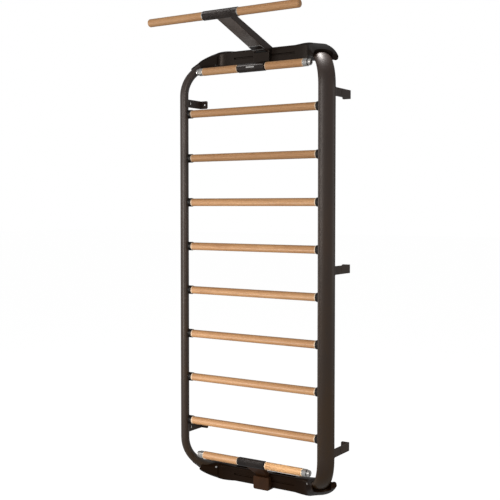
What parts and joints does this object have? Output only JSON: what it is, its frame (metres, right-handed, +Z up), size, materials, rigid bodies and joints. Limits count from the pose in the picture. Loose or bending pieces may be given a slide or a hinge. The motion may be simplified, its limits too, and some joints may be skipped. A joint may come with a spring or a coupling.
{
  "type": "wall bars",
  "caption": "Wall-mounted climbing frame: wooden rungs between oval steel uprights, a folding pull-up arm, and grip bars with revolving wooden grips.",
  "frame": {"origin": "on the wall plane, in the middle of the four corner screw holes, at mid-height of the rungs", "axes": "+Z up, +X to the climber's right, +Y towards the wall"},
  "size_m": [0.8774, 0.4645, 2.2951],
  "materials": {
    "frame_paint": "satin powder coat, very dark bronze",
    "casting_paint": "satin powder coat over cast aluminium, very dark bronze",
    "black_steel": "black satin",
    "oak": "clear oiled oak",
    "chrome": "polished",
    "bright_steel": "brushed",
    "black_plastic": "fine matte",
    "black_rubber": "matte",
    "brass_bush": "plain bearing bronze"
  },
  "bodies": {
    "frame": {"upright_right": "frame_paint", "upright_left": "frame_paint", "bracket_top_right": "frame_paint", "bracket_top_left": "frame_paint", "bracket_bottom_right": "frame_paint", "bracket_bottom_left": "frame_paint", "bracket_middle_right": "frame_paint", "top_crossbar": "casting_paint", "bottom_crossbar": "casting_paint", "top_block": "casting_paint", "bottom_block": "casting_paint", "top_grip_neck": "casting_paint", "bottom_grip_neck": "casting_paint", "rung_ferrules": "black_steel", "rung_set_screws": "bright_steel", "rung_1": "oak", "rung_2": "oak", "rung_3": "oak", "rung_4": "oak", "rung_5": "oak", "rung_6": "oak", "rung_7": "oak", "rung_8": "oak", "top_socket_bolts": "black_steel", "top_grip_housing": "black_plastic", "top_grip_axle": "bright_steel", "top_grip_spacers": "black_plastic", "top_grip_washers": "black_plastic", "top_end_knobs": "chrome", "top_end_caps": "chrome", "bottom_socket_bolts": "bright_steel", "bottom_grip_housing": "black_plastic", "bottom_grip_axle": "bright_steel", "bottom_grip_spacers": "black_plastic", "bottom_grip_washers": "black_plastic", "bottom_end_knobs": "chrome", "bottom_end_caps": "chrome", "arm_hinge_pin": "bright_steel", "arm_rest_pad": "black_rubber"},
    "pull_up_arm": {"pull_up_arm": "frame_paint", "release_bezel": "bright_steel", "pull_up_core": "bright_steel", "pull_up_sleeve": "black_plastic", "pull_up_rings": "bright_steel", "handle_right": "oak", "handle_left": "oak"},
    "release_paddle": {"release_paddle": "black_plastic"},
    "top_left_grip": {"top_left_grip": "oak", "top_left_collar": "chrome", "top_left_bushes": "brass_bush"},
    "top_right_grip": {"top_right_grip": "oak", "top_right_collar": "chrome", "top_right_bushes": "brass_bush"},
    "bottom_left_grip": {"bottom_left_grip": "oak", "bottom_left_collar": "chrome", "bottom_left_bushes": "brass_bush"},
    "bottom_right_grip": {"bottom_right_grip": "oak", "bottom_right_collar": "chrome", "bottom_right_bushes": "brass_bush"}
  },
  "joints": [
    {"name": "arm_fold", "type": "hinge", "parent": "frame", "child": "pull_up_arm", "pos_m": [0, -0.058, 1.064], "axis": [-1, 0, 0], "range_deg": [0, 70]},
    {"name": "release_press", "type": "slide", "parent": "pull_up_arm", "child": "release_paddle", "axis": [0, 0.314, 0.9494], "range_m": [0, 0.004], "stiffness_N_per_m": 1500, "springref_m": -0.002},
    {"name": "top_left_grip_spin", "type": "hinge", "parent": "frame", "child": "top_left_grip", "pos_m": [-0.19, -0.182, 0.9735], "axis": [1, 0, 0], "continuous": true},
    {"name": "top_right_grip_spin", "type": "hinge", "parent": "frame", "child": "top_right_grip", "pos_m": [0.19, -0.182, 0.9735], "axis": [1, 0, 0], "continuous": true},
    {"name": "bottom_left_grip_spin", "type": "hinge", "parent": "frame", "child": "bottom_left_grip", "pos_m": [-0.19, -0.182, -0.939], "axis": [1, 0, 0], "continuous": true},
    {"name": "bottom_right_grip_spin", "type": "hinge", "parent": "frame", "child": "bottom_right_grip", "pos_m": [0.19, -0.182, -0.939], "axis": [1, 0, 0], "continuous": true}
  ]
}
